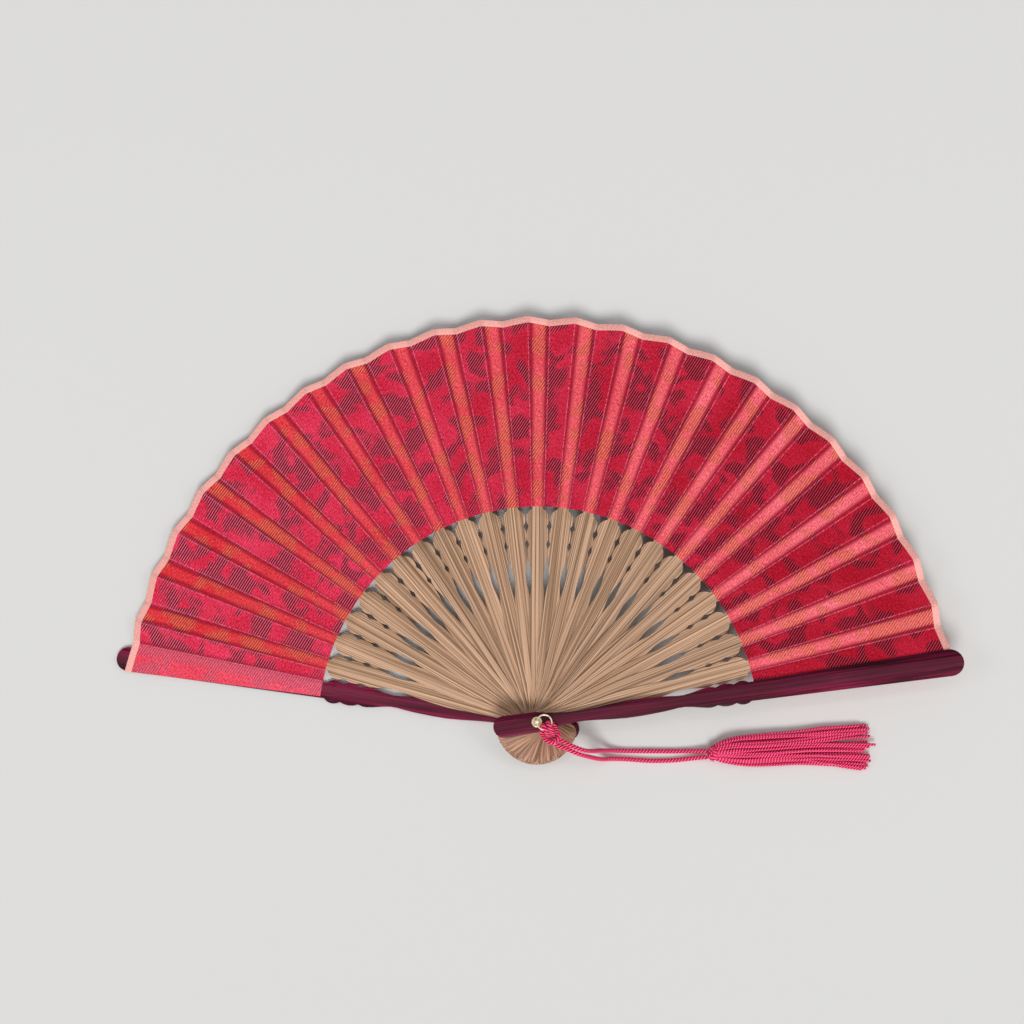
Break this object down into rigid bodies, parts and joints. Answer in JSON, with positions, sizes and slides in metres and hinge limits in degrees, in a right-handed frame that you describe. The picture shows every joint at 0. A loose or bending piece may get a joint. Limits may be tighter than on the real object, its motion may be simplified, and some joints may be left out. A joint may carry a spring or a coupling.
{
  "type": "folding fan",
  "caption": "Open folding fan with a pleated cloth leaf on thin bamboo ribs between two lacquered guards, and a tassel on a corded ring at the pivot.",
  "frame": {"origin": "on the pivot's axis, at the rear guard's underside, where the open fan lies on a table", "axes": "+Z along the pivot's axis towards the front guard, the ring and the viewer, +Y from the pivot along the middle rib, +X from the pivot towards the side where the front guard lies when open"},
  "size_m": [0.3787, 0.2067, 0.0215],
  "materials": {
    "bamboo": "satin bamboo, split and sanded",
    "lacquer": "semi-gloss maroon lacquer",
    "leaf_cloth": "satin jacquard cloth",
    "plated_metal": "polished plate",
    "rayon": "twisted rayon cord"
  },
  "bodies": {
    "base": {"rear_guard": "lacquer", "leaf_pleat_00": "leaf_cloth", "pivot_barrel": "plated_metal", "pivot_washer": "plated_metal"},
    "stick_01": {"rib_01": "bamboo", "leaf_pleat_01": "leaf_cloth"},
    "stick_02": {"rib_02": "bamboo", "leaf_pleat_02": "leaf_cloth"},
    "stick_03": {"rib_03": "bamboo", "leaf_pleat_03": "leaf_cloth"},
    "stick_04": {"rib_04": "bamboo", "leaf_pleat_04": "leaf_cloth"},
    "stick_05": {"rib_05": "bamboo", "leaf_pleat_05": "leaf_cloth"},
    "stick_06": {"rib_06": "bamboo", "leaf_pleat_06": "leaf_cloth"},
    "stick_07": {"rib_07": "bamboo", "leaf_pleat_07": "leaf_cloth"},
    "stick_08": {"rib_08": "bamboo", "leaf_pleat_08": "leaf_cloth"},
    "stick_09": {"rib_09": "bamboo", "leaf_pleat_09": "leaf_cloth"},
    "stick_10": {"rib_10": "bamboo", "leaf_pleat_10": "leaf_cloth"},
    "stick_11": {"rib_11": "bamboo", "leaf_pleat_11": "leaf_cloth"},
    "stick_12": {"rib_12": "bamboo", "leaf_pleat_12": "leaf_cloth"},
    "stick_13": {"rib_13": "bamboo", "leaf_pleat_13": "leaf_cloth"},
    "stick_14": {"rib_14": "bamboo", "leaf_pleat_14": "leaf_cloth"},
    "stick_15": {"rib_15": "bamboo", "leaf_pleat_15": "leaf_cloth"},
    "stick_16": {"rib_16": "bamboo", "leaf_pleat_16": "leaf_cloth"},
    "stick_17": {"rib_17": "bamboo", "leaf_pleat_17": "leaf_cloth"},
    "stick_18": {"rib_18": "bamboo", "leaf_pleat_18": "leaf_cloth"},
    "stick_19": {"rib_19": "bamboo", "leaf_pleat_19": "leaf_cloth"},
    "stick_20": {"rib_20": "bamboo", "leaf_pleat_20": "leaf_cloth"},
    "stick_21": {"rib_21": "bamboo", "leaf_pleat_21": "leaf_cloth"},
    "stick_22": {"rib_22": "bamboo", "leaf_pleat_22": "leaf_cloth"},
    "stick_23": {"rib_23": "bamboo", "leaf_pleat_23": "leaf_cloth"},
    "cover": {"front_guard": "lacquer", "leaf_end_panel": "leaf_cloth"},
    "tassel": {"pivot_stud": "plated_metal", "jump_ring": "plated_metal", "tassel_cord": "rayon", "tassel_knot": "rayon", "tassel_skirt": "rayon"}
  },
  "joints": [
    {"name": "fold_01", "type": "hinge", "parent": "base", "child": "stick_01", "pos_m": [0, 0, 0], "axis": [0, 0, 1], "range_deg": [0, 6.78], "deforming": ["leaf_pleat_00"]},
    {"name": "fold_02", "type": "hinge", "parent": "stick_01", "child": "stick_02", "pos_m": [0, 0, 0], "axis": [0, 0, 1], "range_deg": [0, 6.78], "deforming": ["leaf_pleat_01"]},
    {"name": "fold_03", "type": "hinge", "parent": "stick_02", "child": "stick_03", "pos_m": [0, 0, 0], "axis": [0, 0, 1], "range_deg": [0, 6.78], "deforming": ["leaf_pleat_02"]},
    {"name": "fold_04", "type": "hinge", "parent": "stick_03", "child": "stick_04", "pos_m": [0, 0, 0], "axis": [0, 0, 1], "range_deg": [0, 6.78], "deforming": ["leaf_pleat_03"]},
    {"name": "fold_05", "type": "hinge", "parent": "stick_04", "child": "stick_05", "pos_m": [0, 0, 0], "axis": [0, 0, 1], "range_deg": [0, 6.78], "deforming": ["leaf_pleat_04"]},
    {"name": "fold_06", "type": "hinge", "parent": "stick_05", "child": "stick_06", "pos_m": [0, 0, 0], "axis": [0, 0, 1], "range_deg": [0, 6.78], "deforming": ["leaf_pleat_05"]},
    {"name": "fold_07", "type": "hinge", "parent": "stick_06", "child": "stick_07", "pos_m": [0, 0, 0], "axis": [0, 0, 1], "range_deg": [0, 6.78], "deforming": ["leaf_pleat_06"]},
    {"name": "fold_08", "type": "hinge", "parent": "stick_07", "child": "stick_08", "pos_m": [0, 0, 0], "axis": [0, 0, 1], "range_deg": [0, 6.78], "deforming": ["leaf_pleat_07"]},
    {"name": "fold_09", "type": "hinge", "parent": "stick_08", "child": "stick_09", "pos_m": [0, 0, 0], "axis": [0, 0, 1], "range_deg": [0, 6.78], "deforming": ["leaf_pleat_08"]},
    {"name": "fold_10", "type": "hinge", "parent": "stick_09", "child": "stick_10", "pos_m": [0, 0, 0], "axis": [0, 0, 1], "range_deg": [0, 6.78], "deforming": ["leaf_pleat_09"]},
    {"name": "fold_11", "type": "hinge", "parent": "stick_10", "child": "stick_11", "pos_m": [0, 0, 0], "axis": [0, 0, 1], "range_deg": [0, 6.78], "deforming": ["leaf_pleat_10"]},
    {"name": "fold_12", "type": "hinge", "parent": "stick_11", "child": "stick_12", "pos_m": [0, 0, 0], "axis": [0, 0, 1], "range_deg": [0, 6.78], "deforming": ["leaf_pleat_11"]},
    {"name": "fold_13", "type": "hinge", "parent": "stick_12", "child": "stick_13", "pos_m": [0, 0, 0], "axis": [0, 0, 1], "range_deg": [0, 6.78], "deforming": ["leaf_pleat_12"]},
    {"name": "fold_14", "type": "hinge", "parent": "stick_13", "child": "stick_14", "pos_m": [0, 0, 0], "axis": [0, 0, 1], "range_deg": [0, 6.78], "deforming": ["leaf_pleat_13"]},
    {"name": "fold_15", "type": "hinge", "parent": "stick_14", "child": "stick_15", "pos_m": [0, 0, 0], "axis": [0, 0, 1], "range_deg": [0, 6.78], "deforming": ["leaf_pleat_14"]},
    {"name": "fold_16", "type": "hinge", "parent": "stick_15", "child": "stick_16", "pos_m": [0, 0, 0], "axis": [0, 0, 1], "range_deg": [0, 6.78], "deforming": ["leaf_pleat_15"]},
    {"name": "fold_17", "type": "hinge", "parent": "stick_16", "child": "stick_17", "pos_m": [0, 0, 0], "axis": [0, 0, 1], "range_deg": [0, 6.78], "deforming": ["leaf_pleat_16"]},
    {"name": "fold_18", "type": "hinge", "parent": "stick_17", "child": "stick_18", "pos_m": [0, 0, 0], "axis": [0, 0, 1], "range_deg": [0, 6.78], "deforming": ["leaf_pleat_17"]},
    {"name": "fold_19", "type": "hinge", "parent": "stick_18", "child": "stick_19", "pos_m": [0, 0, 0], "axis": [0, 0, 1], "range_deg": [0, 6.78], "deforming": ["leaf_pleat_18"]},
    {"name": "fold_20", "type": "hinge", "parent": "stick_19", "child": "stick_20", "pos_m": [0, 0, 0], "axis": [0, 0, 1], "range_deg": [0, 6.78], "deforming": ["leaf_pleat_19"]},
    {"name": "fold_21", "type": "hinge", "parent": "stick_20", "child": "stick_21", "pos_m": [0, 0, 0], "axis": [0, 0, 1], "range_deg": [0, 6.78], "deforming": ["leaf_pleat_20"]},
    {"name": "fold_22", "type": "hinge", "parent": "stick_21", "child": "stick_22", "pos_m": [0, 0, 0], "axis": [0, 0, 1], "range_deg": [0, 6.78], "deforming": ["leaf_pleat_21"]},
    {"name": "fold_23", "type": "hinge", "parent": "stick_22", "child": "stick_23", "pos_m": [0, 0, 0], "axis": [0, 0, 1], "range_deg": [0, 6.78], "deforming": ["leaf_pleat_22"]},
    {"name": "fold_24", "type": "hinge", "parent": "stick_23", "child": "cover", "pos_m": [0, 0, 0], "axis": [0, 0, 1], "range_deg": [0, 6.78], "deforming": ["leaf_pleat_23"]},
    {"name": "tassel_swing", "type": "hinge", "parent": "base", "child": "tassel", "pos_m": [0, 0, 0], "axis": [0, 0, 1], "range_deg": [-135, 4]}
  ],
  "couplings": [
    {"joint": "fold_02", "follows": "fold_01", "ratio": 1},
    {"joint": "fold_03", "follows": "fold_01", "ratio": 1},
    {"joint": "fold_04", "follows": "fold_01", "ratio": 1},
    {"joint": "fold_05", "follows": "fold_01", "ratio": 1},
    {"joint": "fold_06", "follows": "fold_01", "ratio": 1},
    {"joint": "fold_07", "follows": "fold_01", "ratio": 1},
    {"joint": "fold_08", "follows": "fold_01", "ratio": 1},
    {"joint": "fold_09", "follows": "fold_01", "ratio": 1},
    {"joint": "fold_10", "follows": "fold_01", "ratio": 1},
    {"joint": "fold_11", "follows": "fold_01", "ratio": 1},
    {"joint": "fold_12", "follows": "fold_01", "ratio": 1},
    {"joint": "fold_13", "follows": "fold_01", "ratio": 1},
    {"joint": "fold_14", "follows": "fold_01", "ratio": 1},
    {"joint": "fold_15", "follows": "fold_01", "ratio": 1},
    {"joint": "fold_16", "follows": "fold_01", "ratio": 1},
    {"joint": "fold_17", "follows": "fold_01", "ratio": 1},
    {"joint": "fold_18", "follows": "fold_01", "ratio": 1},
    {"joint": "fold_19", "follows": "fold_01", "ratio": 1},
    {"joint": "fold_20", "follows": "fold_01", "ratio": 1},
    {"joint": "fold_21", "follows": "fold_01", "ratio": 1},
    {"joint": "fold_22", "follows": "fold_01", "ratio": 1},
    {"joint": "fold_23", "follows": "fold_01", "ratio": 1},
    {"joint": "fold_24", "follows": "fold_01", "ratio": 1}
  ]
}
